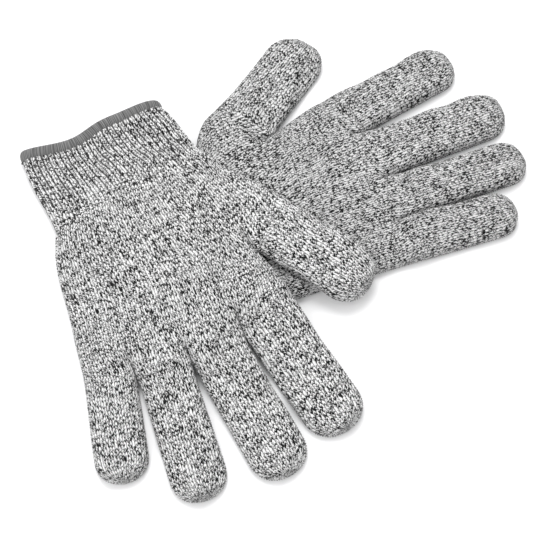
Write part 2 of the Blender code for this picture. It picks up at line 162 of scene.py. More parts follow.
# Sections: where the side of a stall or palm stands, as a share of its thickness.
SIDE_HEIGHT = 0.22
TIP_TAPER = {"top": -0.03, "under": 0.04}
THUMB_TAPER = 0.06
TIP_ROUNDNESS = 2.25
# A stall narrows to this share of its width at its tip's pole, where its points merge.
POLE_WIDTH = 1e-4
# Points that round to the same step of this size are one point.
WELD_GRID = 0.004 * MM
# A solid's edge at a place is measured over this reach.
EDGE_REACH = 4.0 * MM
# Powers: how the palm's edge runs out from the wrist, and how the slopes fade from the edges.
EDGE_WIDENING = 0.75
SLOPE_FADE = 1.5
# How many times faster than its length the cuff comes to the wrist's thickness.
CUFF_THICKENING = 1.3
# No point of the gloves lies lower than this.
LOWEST = 0.05 * MM

# How thick the skin lies, and how high the mouth's underside stands off the table.
STALL_THICKNESS = 9.6 * MM
PALM_THICKNESS = 11.5 * MM
WRIST_THICKNESS = 12.0 * MM
MOUTH_THICKNESS = 12.0 * MM
MOUTH_LIFT = 1.5 * MM
# Which way the sides run, as x over y at the thumb's edge and at the pinky's edge.
MOUTH_SLOPES = (-0.45, 0.16)
WRIST_SLOPES = (-0.75, 0.08)
HEEL_SLOPES = {"top": (-0.75, 0.50), "under": (-2.1, 0.50)}
MOUTH_WAVE = 4.0 * MM
MOUTH_DIP = 3.0 * MM
MOUTH_DIP_PLACE = -0.12
MOUTH_DIP_SPREAD = 0.30

# How the stalls lie beside the solids: a turn away from the thumb in degrees, and then a longer
# reach, a shift away from the thumb and a wider stall in millimetres.
LIE = {
    "top": {
        "thumb": (0.0, -0.6, -0.7, -1.4),
        "index": (1.2, 0.6, 0.0, 2.0),
        "middle": (-0.5, -1.0, 0.0, 0.0),
        "ring": (0.0, -1.2, 0.0, 0.0),
        "pinky": (0.0, -2.6, 0.0, 0.0),
    },
    "under": {
        "thumb": (-1.5, -0.8, 0.0, 0.0),
        "index": (1.4, -1.6, 0.8, -1.4),
        "middle": (0.0, 0.0, 0.0, 0.0),
        "ring": (-0.4, 1.6, -0.9, -1.6),
        "pinky": (-1.0, 3.6, -3.4, 0.0),
    },
}
# How far up the palm's lower and upper parts the stalls' own sections begin to show.
CREASE_START = {"top": (0.6, 0.55), "under": (0.65, 0.75)}

# Soft undulations of the fabric: waves this high each, of these lengths.
WAVES = 14
WAVE_HEIGHT = 0.32 * MM
WAVE_LENGTHS = (16.0 * MM, 44.0 * MM)
# They fade in from the table up to this height, and over this many courses from the mouth.
CALM_HEIGHT = 8.0 * MM
CALM_COURSES = 12.0

DRAPE_REACH = 42.0 * MM
DRAPE_CLEARANCE = 1.2 * MM
DRAPE_CELL = 2.0 * MM

FLOOR_REACH = 3.0
FLOOR_DROP = 0.2 * MM
FLOOR_COLOUR = (0.93, 0.93, 0.935, 1)
FLOOR_ROUGHNESS = 0.9
WORLD_LIGHT = 0.90
# Each light's place and the size of its disk in metres, and its power in watts.
LIGHTS = {
    "key": ((0.15, 0.65, 1.3), 0.8, 12.5),
    "fill": ((-0.9, -0.2, 1.2), 1.2, 5.0),
}
AIM = Vector((-18.3 * MM, -15.0 * MM, 0.0))
AZIMUTH, ELEVATION, DISTANCE, LENS = -22.9, 66.0, 0.63, 74.3


def smooth(t):
    t = np.clip(t, 0.0, 1.0)
    return t * t * (3.0 - 2.0 * t)


def mix(a, b, t):
    return a + (b - a) * t


# ---------------------------------------------------------------- measures taken from the solids


class Glove:
    """A glove's frame and the places of its solids, in metres in the glove's own frame."""

    def __init__(self, name):
        self.name = name
        self.turn = np.array(AXES[name]).T
        palm, hem = self.rows_of("palm"), self.rows_of("hem")
        self.origin = np.zeros(2)
        flat = self.local(palm)
        hem_x = self.local(hem)[:, 0]
        self.origin = self.turn @ np.array([(hem_x.min() + hem_x.max()) / 2, flat[:, 1].min()])
        palm, cuff = self.local(palm), self.local(self.rows_of("cuff"))
        self.wrist = self.edges(palm, 0.0)
        self.mouth = (-cuff[:, 0].max(), cuff[:, 0].max())
        self.length = -cuff[:, 1].min() - MOUTH_WAVE / 2
        self.stall = {lane: self.measure_stall(lane) for lane in LANES}

    def rows_of(self, part):
        node = frame["nodes"][f"{self.name}_{part}"]
        return np.array([v.co for v in node.data.vertices])

    def local(self, points):
        """Row frame to glove frame; heights stay."""
        flat = (points[:, :2] @ self.turn) - self.turn.T @ self.origin
        return np.column_stack([flat, points[:, 2]])

    def row(self, points):
        """Glove frame to row frame."""
        return np.column_stack([points[:, :2] @ self.turn.T + self.origin, points[:, 2]])

    @staticmethod
    def edges(points, y):
        near = points[np.abs(points[:, 1] - y) < EDGE_REACH]
        return near[:, 0].min(), near[:, 0].max()

    def measure_stall(self, lane):
        """Knuckle, directions, width, thickness, length and joints of a stall."""
        joints = {j["name"]: j for j in frame["joints"]}
        names = [f"{self.name}_{lane}_knuckle"]
        names += [f"{self.name}_{lane}_{part}_joint" for part in PARTS[lane][1:]]
        places = [self.local(np.array([joints[name]["pos_m"]]))[0] for name in names]
        across = self.turn.T @ np.array(joints[names[0]]["axis"][:2])
        across /= np.linalg.norm(across)
        turn, longer, shift, wider = LIE[self.name][lane]
        cos, sin = math.cos(math.radians(turn)), math.sin(math.radians(turn))
        across = np.array([cos * across[0] + sin * across[1], cos * across[1] - sin * across[0]])
        along = np.array([-across[1], across[0]])
        knuckle = places[0][:2] + across * shift * MM
        base = self.local(self.rows_of(f"{lane}_base"))
        tip = self.local(self.rows_of(f"{lane}_tip"))
        width = np.ptp((base[:, :2] - knuckle) @ across) + wider * MM
        length = ((tip[:, :2] - knuckle) @ along).max() + longer * MM
        cuts = [float((place[:2] - knuckle) @ along) for place in places]
        flat = tip if self.name == "under" or lane != "thumb" else base
        thickness = np.ptp(flat[:, 2])
        return {
            "knuckle": knuckle,
            "across": across,
            "along": along,
            "width": width,
            "length": length,
            "cuts": cuts,
            "places": places,
            "thickness": min(thickness, STALL_THICKNESS),
            "taper": TIP_TAPER[self.name] if lane != "thumb" else THUMB_TAPER,
        }

    def at(self, lane, across, along):
        """A point in plan, by shares of half a stall's width and a distance from its knuckle."""
        s = self.stall[lane]
        reach = np.multiply.outer(np.asarray(across) * s["width"] / 2, s["across"])
        return s["knuckle"] + reach + np.multiply.outer(np.asarray(along), s["along"])

    def crotch(self, near, far):
        corner = (self.at(near, 1.0, 0.0) + self.at(far, -1.0, 0.0)) / 2
        return corner - np.array([0.0, WEB_DEPTH])

    def thumb_crotch(self):
        return self.at("thumb", 1.0, -THUMB_WEB[self.name]) + np.array([FINGER_GAP, 0.0])


# ------------------------------------------------------------------------ the skin's plan


def lerp_points(c, knots, points):
    """Points at lane coordinates c, straight between the knots."""
    points = np.asarray(points)
    return np.column_stack([np.interp(c, knots, points[:, 0]), np.interp(c, knots, points[:, 1])])


class Plan:
    """The skin's plan in the glove frame: a place for each lane coordinate c, from 0 at the
    thumb's edge to 5 at the pinky's edge, and each station up the glove."""

    def __init__(self, glove):
        self.g = glove
        g = glove
        left, right = g.wrist
        self.wrist = [(left, 0.0), (right, 0.0)]
        crotch = g.thumb_crotch()
        pinky = g.at("pinky", 1.0, -WEB_DEPTH)
        rise = crotch[1] / pinky[1]
        edge = np.array([mix(right, pinky[0], rise**EDGE_WIDENING), crotch[1]])
        self.thumb_row = [g.at("thumb", -1.0, -WEB_DEPTH), crotch, edge]
        web = [g.at("index", -1.0, -WEB_DEPTH)]
        web += [g.crotch(a, b) for a, b in zip(FINGERS, FINGERS[1:])]
        self.web_row = web + [pinky]
        self.centres = np.arange(5) + 0.5
        self.directions = np.array([g.stall[lane]["along"] for lane in LANES])

    def wrist_at(self, c):
        return lerp_points(c, [0, 5], self.wrist)

    def thumb_row_at(self, c):
        return lerp_points(c, [0, 1, 5], self.thumb_row)

    def web_row_at(self, c):
        """The row through the fingers' webs, straight from web to web."""
        return lerp_points(c, [1, 2, 3, 4, 5], self.web_row)

    def mouth_at(self, c):
        across = 2.0 * np.asarray(c) / 5.0 - 1.0
        wave = MOUTH_WAVE * (0.5 + np.sin(math.pi * (across + 0.3) / 1.1))
        wave -= MOUTH_DIP * np.exp(-(((across - MOUTH_DIP_PLACE) / MOUTH_DIP_SPREAD) ** 2))
        left, right = self.g.mouth
        return np.column_stack([mix(left, right, (across + 1.0) / 2.0), wave - self.g.length])

    @staticmethod
    def cuff_slope(slopes, c):
        """A direction up the cuff at c. The slopes fade quickly from the edges inwards."""
        across = 2.0 * np.asarray(c) / 5.0 - 1.0
        slope = np.where(across < 0, slopes[0], slopes[1]) * np.abs(across) ** SLOPE_FADE
        return np.column_stack([slope, np.ones_like(slope)])

    def finger_direction(self, c):
        """The fingers' directions, turning smoothly from one finger's middle to the next's."""
        return lerp_points(c, self.centres[1:], self.directions[1:])

    def thumb_row_slope(self, c):
        """Along the thumb in its lane, and up the palm in the others, shared at the web."""
        c = np.asarray(c)
        chord = self.web_row_at(np.maximum(c, 1.0)) - self.wrist_at(c)
        chord /= np.linalg.norm(chord, axis=1)[:, None]
        share = np.clip(1.5 - c, 0.0, 1.0)[:, None]
        mixed = chord * (1.0 - share) + self.directions[0] * share
        return mixed / np.linalg.norm(mixed, axis=1)[:, None]


def hermite(p0, t0, p1, t1, s):
    """Cubic from p0 to p1, leaving along t0 and arriving along t1 (both of length about 1)."""
    reach = np.linalg.norm(p1 - p0, axis=1)[:, None]
    s = np.asarray(s)[:, None]
    h00 = 2 * s**3 - 3 * s**2 + 1
    h10 = s**3 - 2 * s**2 + s
    return h00 * p0 + h10 * reach * t0 + (1 - h00) * p1 + (s**3 - s**2) * reach * t1


def half_section(power, aspect):
    """A half superellipse walked at an even pace: place across (0 to 1) and height (0 to 1)."""
    turn = np.linspace(0.0, math.pi, 400)
    cos, sin = np.cos(turn), np.sin(turn)
    x = (1.0 - np.sign(cos) * np.abs(cos) ** (2.0 / power)) / 2.0
    z = np.abs(sin) ** (2.0 / power)
    run = np.concatenate([[0.0], np.cumsum(np.hypot(np.diff(x), np.diff(z) * aspect / 2.0))])
    run /= run[-1]
    return lambda a: (np.interp(a, run, x), np.interp(a, run, z))


LANE_TOP = {"top": half_section(2.7, 0.40), "under": half_section(3.4, 0.35)}
LANE_FOOT = half_section(3.0, 0.25)
PALM_TOP = half_section(3.0, 0.17)
PALM_FOOT = half_section(5.0, 0.09)


def heights(section_height, thickness, upper):
    """Height above the table of a point of a section."""
    side = SIDE_HEIGHT * thickness
    if upper:
        return side + (thickness - side) * section_height
    return side * (1.0 - section_height)


class Skin:
    """The skin's grid, gathered patch by patch, and welded where patches meet."""

    def __init__(self, glove):
        self.g = glove
        self.plan = Plan(glove)
        self.points, self.faces, self.face_part = [], [], []
        self.knit = []
        self.count = 0
        self.build()
        self.weld()

    def add(self, part, place, lane, upper, rows_at, region, row_parts=None):
        """A patch of place[row, column]; rows_at is each row's course count from the mouth."""
        rows, columns = place.shape[:2]
        start = self.count
        self.points.append(place.reshape(-1, 3))
        row_id, column_id = np.meshgrid(np.arange(rows), np.arange(columns), indexing="ij")
        wale = (lane + column_id / COLUMNS) * WALES * COLUMN_RATE[region]
        wale = wale + (0 if upper else SIDE_STEP)
        course = np.repeat(rows_at[:, None], columns, 1)
        self.knit.append(np.column_stack([wale.ravel(), course.ravel()]))
        corner = start + row_id[:-1, :-1] * columns + column_id[:-1, :-1]
        quads = np.stack([corner, corner + 1, corner + columns + 1, corner + columns], -1)
        quads = quads.reshape(-1, 4)
        if not upper:
            quads = quads[:, ::-1]
        self.faces.append(quads)
        names = row_parts if row_parts is not None else [part] * (rows - 1)
        self.face_part.append(np.repeat(np.array(names, dtype=object), columns - 1))
        self.count += rows * columns

    def build(self):
        g, plan = self.g, self.plan
        b = np.linspace(0.0, 1.0, COLUMNS + 1)
        cuff_courses = round(g.length / COURSE)
        low = round(plan.thumb_row[1][1] / COURSE)
        high = round((plan.web_row[2][1] - plan.thumb_row[1][1]) / COURSE)
        collar = round(WEB_DEPTH / COURSE)
        steps = {
            "cuff": np.linspace(0, 1, cuff_courses * COURSE_ROWS + 1),
            "low": np.linspace(0, 1, low * COURSE_ROWS + 1),
            "high": np.linspace(0, 1, high * COURSE_ROWS + 1),
            "collar": np.linspace(0, 1, collar * COURSE_ROWS + 1),
        }
        self.courses = {"cuff": cuff_courses, "low": low, "high": high}
        overlap = round(WRIST_OVERLAP / COURSE) * COURSE_ROWS
        for upper in (True, False):
            top = LANE_TOP[g.name] if upper else LANE_FOOT
            palm = PALM_TOP if upper else PALM_FOOT
            for lane in range(len(LANES)):
                wide5, tall5 = palm((lane + b) / 5.0)
                wide1, tall1 = top(b)
                c5 = 5.0 * wide5
                if lane:
                    wide4, tall4 = palm((lane - 1 + b) / 4.0)
                    c4 = 1.0 + 4.0 * wide4
                else:
                    c4, tall4 = wide1, tall1
                c1 = lane + wide1
                self.add_cuff(lane, upper, steps["cuff"], c5, tall5)
                self.add_low(lane, upper, steps["low"], c5, tall5, c4, tall4, overlap)
                if lane:
                    self.add_high(lane, upper, steps["high"], c4, tall4, c1, tall1)
                self.add_stall(lane, upper, steps["collar"], c1, wide1, tall1)

    def cuff_row(self, s, c, tall, upper):
        """Points across one side of the cuff, a share s of the way up it."""
        plan = self.plan
        start, end = plan.mouth_at(c), plan.wrist_at(c)
        leave, arrive = plan.cuff_slope(MOUTH_SLOPES, c), plan.cuff_slope(WRIST_SLOPES, c)
        flat = hermite(start, leave, end, arrive, np.full(len(c), s))
        thick = mix(MOUTH_THICKNESS - MOUTH_LIFT, WRIST_THICKNESS, smooth(s * CUFF_THICKENING))
        lift = MOUTH_LIFT * (1.0 - s) ** 2
        return np.column_stack([flat, lift + heights(tall, thick, upper)])

    def add_cuff(self, lane, upper, steps, c, tall):
        rows = [self.cuff_row(s, c, tall, upper) for s in steps]
        self.add("cuff", np.array(rows), lane, upper, steps * self.courses["cuff"], "cuff")

    def add_low(self, lane, upper, steps, c5, tall5, c4, tall4, overlap):
        plan = self.plan
        rows = []
        thumb = self.g.stall["thumb"]["thickness"]
        for s in steps:
            begin = CREASE_START[self.g.name][0]
            split = smooth((s - begin) / (1.0 - begin))
            c = mix(c5, c4, split)
            start, end = plan.wrist_at(c), plan.thumb_row_at(c)
            slope0 = plan.cuff_slope(HEEL_SLOPES[self.g.name], c)
            slope1 = plan.thumb_row_slope(c)
            flat = hermite(start, slope0, end, slope1, np.full(len(c), s))
            big = mix(WRIST_THICKNESS, PALM_THICKNESS, smooth(s))
            own = heights(tall4, thumb if lane == 0 else PALM_THICKNESS, upper)
            rows.append(np.column_stack([flat, mix(heights(tall5, big, upper), own, split)]))
        count = self.courses["cuff"] + steps * self.courses["low"]
        parts = ["cuff" if i < overlap else "palm" for i in range(len(steps) - 1)]
        self.add("palm", np.array(rows), lane, upper, count, "low", parts)

    def add_high(self, lane, upper, steps, c4, tall4, c1, tall1):
        plan = self.plan
        rows = []
        thickness = self.g.stall[LANES[lane]]["thickness"]
        for s in steps:
            begin = CREASE_START[self.g.name][1]
            split = smooth((s - begin) / (1.0 - begin))
            c = mix(c4, c1, split)
            start, end = plan.thumb_row_at(c), plan.web_row_at(c)
            slope0, slope1 = plan.thumb_row_slope(c), plan.finger_direction(c)
            flat = hermite(start, slope0, end, slope1, np.full(len(c), s))
            palm = heights(tall4, PALM_THICKNESS, upper)
            own = heights(tall1, thickness, upper)
            rows.append(np.column_stack([flat, mix(palm, own, split)]))
        count = self.courses["cuff"] + self.courses["low"] + steps * self.courses["high"]
        self.add("palm", np.array(rows), lane, upper, count, "high")

    def add_stall(self, lane, upper, collar_steps, c1, wide1, tall1):
        """The collar past the web and the whole stall, with its rows shared out to its parts."""
        plan, g, name = self.plan, self.g, LANES[lane]
        s = g.stall[name]
        thickness = s["thickness"]
        web = plan.web_row_at(c1) if lane else plan.thumb_row_at(c1)
        slope = plan.finger_direction(c1) if lane else plan.thumb_row_slope(c1)
        knuckle = g.at(name, 2.0 * wide1 - 1.0, np.zeros(len(wide1)))
        rows = []
        for t in collar_steps[:-1]:
            flat = hermite(web, slope, knuckle, s["along"], np.full(len(c1), t))
            rows.append(np.column_stack([flat, heights(tall1, thickness, upper)]))
        distance, shrink = self.tip_rows(s)
        for t, k in zip(distance, shrink):
            width = k * (1.0 - s["taper"] * t / s["length"])
            flat = g.at(name, (2.0 * wide1 - 1.0) * width, np.full(len(wide1), t))
            root = math.sqrt(k)
            lift = SIDE_HEIGHT * thickness * (1.0 - root)
            rows.append(np.column_stack([flat, lift + heights(tall1, thickness * root, upper)]))
        before = self.courses["cuff"] + self.courses["low"] + (self.courses["high"] if lane else 0)
        count = before + np.arange(len(rows)) / COURSE_ROWS
        reach = np.concatenate([(collar_steps[:-1] - 1.0) * WEB_DEPTH, distance])
        middle = (reach[1:] + reach[:-1]) / 2
        ends = s["cuts"][1:] + [s["length"]]
        splits = [(a + z) / 2 for a, z in zip(s["cuts"], ends)][:-1]
        parts = [f"{name}_{PARTS[name][int(np.searchsorted(splits, m))]}" for m in middle]
        self.add(name, np.array(rows), lane, upper, count, "stall", parts)

    def inner_point(self, around, share):
        """A point inside the cuff, a share of the way round it and up it."""
        upper = around < 0.5
        b = around * 2.0 if upper else 2.0 - around * 2.0
        wide, tall = (PALM_TOP if upper else PALM_FOOT)(np.array([b]))
        x, y, z = self.cuff_row(share, 5.0 * wide, tall, upper)[0]
        middle = (self.g.wrist[0] + self.g.wrist[1]) / 2
        across = np.clip((x - middle) / self.g.mouth[1], -1.0, 1.0)
        x -= ELASTIC_DEPTH * ELASTIC_SIDE * np.sign(across) * across**4
        z += ELASTIC_DEPTH * (-1.0 if upper else 1.0) * (1.0 - across**8)
        return np.array([x, y, z])

    @staticmethod
    def tip_rows(s):
        """Distances of the rows along a stall, a course apart on the skin, and the stall's
        narrowing there: 1 along its straight part, rounding to nothing over its tip."""
        radius = s["width"] / 2 * (1.0 - s["taper"])
        shoulder = s["length"] - radius
        turn = np.linspace(0.0, math.pi / 2, 300)
        out = np.sin(turn) ** (2.0 / TIP_ROUNDNESS)
        narrow = np.cos(turn) ** (2.0 / TIP_ROUNDNESS)
        run = np.concatenate([[0.0], np.cumsum(np.hypot(np.diff(out), np.diff(narrow)))]) * radius
        step = COURSE / COURSE_ROWS
        straight = np.linspace(0.0, shoulder, round(shoulder / step) + 1)
        cap = np.linspace(0.0, run[-1], round(run[-1] / step) + 1)[1:]
        distance = np.concatenate([straight, shoulder + np.interp(cap, run, out) * radius])
        shrink = np.concatenate([np.ones(len(straight)), np.interp(cap, run, narrow)])
        return distance, np.maximum(shrink, POLE_WIDTH)

    def weld(self):
        """Merges the patches' shared points."""
        points = np.concatenate(self.points)
        faces = np.concatenate(self.faces)
        knit = np.concatenate(self.knit)
        keys = np.round(points / WELD_GRID).astype(np.int64)
        _, first, index = np.unique(keys, axis=0, return_index=True, return_inverse=True)
        index = index.reshape(-1)
        self.co = points[first]
        self.corner_knit = knit[faces]
        self.quads = index[faces]
        self.part = np.concatenate(self.face_part)
        self.knit_at = knit[first]
        # Faces over a fingertip's pole shrink to triangles or nothing.
        same = self.quads == np.roll(self.quads, -1, axis=1)
        self.bad = same.sum(1)


def grid_normals(co, quads):
    """Area-weighted vertex normals."""
    a, b, c, d = (co[quads[:, i]] for i in range(4))
    face = np.cross(c - a, d - b)
    normals = np.zeros_like(co)
    for i in range(4):
        np.add.at(normals, quads[:, i], face)
    length = np.linalg.norm(normals, axis=1)
    return normals / np.maximum(length, 1e-20)[:, None]


# ------------------------------------------------------------------------------ shaping

def stitch_height(knit):
    """Relief of plain knit at a stitch coordinate, from -1 to 1: two legs that meet at the
    course's foot and part at its head."""
    wale, course = knit[:, 0], knit[:, 1]
    across = wale % 1.0
    up = course % 1.0
    spread = 0.25 * np.minimum(up * 2.0, 2.0 - up * 2.0)
    leg = np.abs(np.abs(across - 0.5) - spread)
    return np.cos(np.minimum(leg * 4.0, 1.0) * math.pi)


def rib_share(course):
    """How strongly the ribs stand at a course: 1 at the mouth, 0 past the wrist."""
    return 1.0 - smooth((course - RIB_FADE[0]) / (RIB_FADE[1] - RIB_FADE[0]))


def rib_height(column):
    """Relief of a rib two columns wide, with a dip between its two columns."""
    return 0.75 * np.cos(np.pi * (column - 1.0)) - 0.25 * np.cos(2.0 * np.pi * column)


def undulation(points):
    """Heights of a few soft waves that cross each other, at points in plan."""
    picks = np.random.default_rng(5)
    total = np.zeros(len(points))
    for _ in range(WAVES):
        way, phase = picks.uniform(0.0, 2.0 * math.pi, 2)
        rate = 2.0 * math.pi / picks.uniform(*WAVE_LENGTHS)
        along = points[:, 0] * math.cos(way) + points[:, 1] * math.sin(way)
        total += WAVE_HEIGHT * np.sin(along * rate + phase)
    return total


def drape_grid(under_co):
    """Height of the surface that the under glove makes, spread out by the fabric's stiffness:
    (x of the cells, y of the cells, heights)."""
    low = under_co[:, :2].min(0) - DRAPE_REACH - 4 * DRAPE_CELL
    high = under_co[:, :2].max(0) + DRAPE_REACH + 4 * DRAPE_CELL
    shape = np.ceil((high - low) / DRAPE_CELL).astype(int) + 1
    cells = np.zeros(shape)
    at = ((under_co[:, :2] - low) / DRAPE_CELL + 0.5).astype(int)
    np.maximum.at(cells, (at[:, 0], at[:, 1]), under_co[:, 2] + DRAPE_CLEARANCE)
    reach = int(DRAPE_REACH / DRAPE_CELL)
    spread = np.zeros_like(cells)
    padded = np.pad(cells, reach)
    for i in range(-reach, reach + 1):
        for j in range(-reach, reach + 1):
            share = float(smooth(1.0 - math.hypot(i, j) * DRAPE_CELL / DRAPE_REACH))
            if share > 0.0:
                part = padded[reach + i: reach + i + shape[0], reach + j: reach + j + shape[1]]
                np.maximum(spread, part * share, out=spread)
    kernel = np.array([1, 4, 6, 4, 1]) / 16.0
    for _ in range(3):
        for axis in (0, 1):
            spread = sum(w * np.roll(spread, k - 2, axis) for k, w in enumerate(kernel))
    return low, spread


def sample(grid, points):
    """Bilinear heights of a drape grid at row-frame points."""
    low, cells = grid
    at = (points[:, :2] - low) / DRAPE_CELL
    base = np.clip(np.floor(at).astype(int), 0, np.array(cells.shape) - 2)
    part = np.clip(at - base, 0.0, 1.0)
    inside = ((at >= 0) & (at <= np.array(cells.shape) - 1)).all(1)
    i, j = base.T
    u, v = part.T
    value = (
        cells[i, j] * (1 - u) * (1 - v)
        + cells[i + 1, j] * u * (1 - v)
        + cells[i, j + 1] * (1 - u) * v
        + cells[i + 1, j + 1] * u * v
    )
    return np.where(inside, value, 0.0)


# ------------------------------------------------------------------------------ materials


class Nodes:
    """A short way to write a node tree."""

    def __init__(self, material):
        material.use_nodes = True
        self.tree = material.node_tree
        self.tree.nodes.clear()

    def add(self, kind, **settings):
        node = self.tree.nodes.new("ShaderNode" + kind)
        for name, value in settings.items():
            setattr(node, name, value)
        return node

    def link(self, source, target):
        self.tree.links.new(source, target)

    def put(self, value, socket):
        """A number or another node's output into a socket."""
        if isinstance(value, (int, float)):
            socket.default_value = value
        else:
            self.link(value, socket)

    def math(self, operation, *inputs):
        node = self.add("Math", operation=operation)
        for socket, value in zip(node.inputs, inputs):
            self.put(value, socket)
        return node.outputs[0]

    def white(self, across, up):
        """A random value from 0 to 1 for each pair of values."""
        place = self.add("CombineXYZ")
        self.put(across, place.inputs[0])
        self.put(up, place.inputs[1])
        node = self.add("TexWhiteNoise", noise_dimensions="2D")
        self.link(place.outputs[0], node.inputs["Vector"])
        return node.outputs["Value"]

    def centred(self, value, share):
        """A share of a value that lies round a half, moved to lie round nothing."""
        return self.math("MULTIPLY", self.math("SUBTRACT", value, 0.5), share)

    def smoothstep(self, value, low, high):
        node = self.add("MapRange", interpolation_type="SMOOTHSTEP")
        self.link(value, node.inputs["Value"])
        node.inputs["From Min"].default_value = low
        node.inputs["From Max"].default_value = high
        return node.outputs["Result"]

    def noise_2d(self, across, up, rates):
        """Noise over two values at their rates, from about 0.25 to 0.75."""
        place = self.add("CombineXYZ")
        self.link(self.math("MULTIPLY", across, rates[0]), place.inputs[0])
        self.link(self.math("MULTIPLY", up, rates[1]), place.inputs[1])
        node = self.add("TexNoise", noise_dimensions="2D")
        node.inputs["Scale"].default_value = 1.0
        node.inputs["Detail"].default_value = NOISE_DETAIL
        node.inputs["Roughness"].default_value = 0.5
        self.link(place.outputs[0], node.inputs["Vector"])
        return node.outputs[0]

    def ramp(self, factor, stops):
        node = self.add("ValToRGB")
        while len(node.color_ramp.elements) < len(stops):
            node.color_ramp.elements.new(0.5)
        for element, (place, value) in zip(node.color_ramp.elements, stops):
            element.position = place
            element.color = (value, value, value, 1.0)
        self.link(factor, node.inputs[0])
        return node.outputs[0]

    def knit_uv(self):
        """The two values of the UV map that counts stitches or threads."""
        uv = self.add("UVMap", uv_map="knit")
        split = self.add("SeparateXYZ")
        self.link(uv.outputs[0], split.inputs[0])
        return split.outputs[0], split.outputs[1]

    def surface(self, colour, values, height=None, bump=None):
        """The shader, with plain values on its own sockets and a bump of a height."""
        shader = self.add("BsdfPrincipled")
        self.link(colour, shader.inputs["Base Color"])
        for name, value in values.items():
            shader.inputs[name].default_value = value
        if bump is not None:
            node = self.add("Bump")
            node.inputs["Strength"].default_value = bump[0]
            node.inputs["Distance"].default_value = bump[1]
            self.link(height, node.inputs["Height"])
            self.link(node.outputs[0], shader.inputs["Normal"])
        self.link(shader.outputs[0], self.add("OutputMaterial").inputs[0])


def knit_material(glove):
    """Marled yarn: the legs of the stitches show flecks of black, grey and white strand."""
    material = bpy.data.materials.new(f"{glove}_knit")
    n = Nodes(material)
    wale, course = n.knit_uv()
    # Each half column is one leg of the stitches, and the legs slope up from the column's middle.
    leg = n.math("MULTIPLY", wale, 2.0)
    side = n.math("ABSOLUTE", n.math("SUBTRACT", n.math("FRACT", wale), 0.5))
    rise = n.math("ADD", course, n.math("MULTIPLY", side, -LEG_SLOPE))
    leg_id = n.math("FLOOR", leg)
    jitter = n.white(leg_id, 0.0)
    stitch_id = n.math("FLOOR", n.math("ADD", n.math("MULTIPLY", rise, STITCH_RATE), jitter))
    stitch = n.white(leg_id, stitch_id)
    strand = n.noise_2d(leg, rise, STRAND_RATES)
    row = n.noise_2d(wale, course, ROW_RATES)
    mixed = n.math("MULTIPLY", stitch, STITCH_SHARE)
    mixed = n.math("ADD", mixed, n.centred(strand, STRAND_SHARE))
    mixed = n.math("ADD", mixed, n.centred(row, ROW_SHARE))
    mixed = n.math("ADD", mixed, (1.0 - STITCH_SHARE) / 2.0)
    # The under glove's copy of the yarn is painted darker, as painted shade.
    shades = [(place, shade * YARN_PAINTED_SHADE[glove]) for place, shade in YARN_SHADES]
    yarn = n.ramp(mixed, shades)
    # The valleys between the columns get painted shade, deeper between the cuff's ribs.
    edge = n.smoothstep(side, *COLUMN_EDGE)
    rib = n.math("FRACT", n.math("MULTIPLY", wale, 0.5))
    between = n.math("ABSOLUTE", n.math("SUBTRACT", rib, 0.5))
    ribbed = n.smoothstep(course, RIB_FADE[1], RIB_FADE[0])
    patch = n.noise_2d(wale, course, PATCH_RATES)
    valley = n.math("MULTIPLY", n.smoothstep(between, *RIB_EDGE), ribbed)
    valley = n.math("MULTIPLY", valley, n.smoothstep(patch, *RIB_PATCH))
    shade = n.math("SUBTRACT", 1.0, n.math("MULTIPLY", edge, COLUMN_PAINTED_SHADE))
    rib_shade = n.math("SUBTRACT", 1.0, n.math("MULTIPLY", valley, RIB_PAINTED_SHADE))
    shade = n.math("MULTIPLY", shade, rib_shade)
    painted_shade_mix = n.add("Mix", data_type="RGBA", blend_type="MULTIPLY")
    painted_shade_mix.inputs["Factor"].default_value = 1.0
    n.link(yarn, painted_shade_mix.inputs["A"])
    n.link(shade, painted_shade_mix.inputs["B"])
    # Yarn plies: fine ridges across each leg.
    lay = n.math("ADD", rise, n.math("MULTIPLY", leg, PLY_SLANT))
    ply = n.math("SINE", n.math("MULTIPLY", lay, PLY_TURN))
    values = {
        "Roughness": KNIT_ROUGHNESS,
        "Specular IOR Level": KNIT_SPECULAR,
        "Sheen Weight": KNIT_SHEEN,
    }
    n.surface(painted_shade_mix.outputs["Result"], values, ply, KNIT_BUMP)
    return material


def hem_material():
    """Dark grey overlock thread, wound across the edge. UVs count threads along the hem."""
    material = bpy.data.materials.new("hem")
    n = Nodes(material)
    along, around = n.knit_uv()
    colour = n.ramp(n.noise_2d(along, around, HEM_RATES), HEM_SHADES)
    turn = n.math("ADD", along, n.math("MULTIPLY", around, HEM_SLANT))
    wind = n.math("SINE", n.math("MULTIPLY", turn, 2.0 * math.pi))
    values = {"Roughness": HEM_ROUGHNESS, "Sheen Weight": HEM_SHEEN}
    n.surface(colour, values, wind, HEM_BUMP)
    return material


def elastic_material():
    """The pale cover of the elastic thread."""
    material = bpy.data.materials.new("elastic")
    n = Nodes(material)
    grain = n.add("TexNoise")
    grain.inputs["Scale"].default_value = ELASTIC_GRAIN
    n.link(n.add("TexCoord").outputs["Object"], grain.inputs["Vector"])
    n.surface(n.ramp(grain.outputs[0], ELASTIC_SHADES), {"Roughness": ELASTIC_ROUGHNESS})
    return material


# ------------------------------------------------------------------------------ pieces


def bake_places(corner_knit):
    """The stitch coordinates laid out in the unit square, the two sides of the glove apart."""
    side = corner_knit[..., 0] >= SIDE_STEP
    across = corner_knit[..., 0] - SIDE_STEP * side
    up = corner_knit[..., 1]
    across = (across - across.min()) / np.ptp(across)
    up = (up - up.min()) / np.ptp(up)
    return np.stack([0.5 * side + 0.005 + 0.49 * across, 0.005 + 0.99 * up], -1)


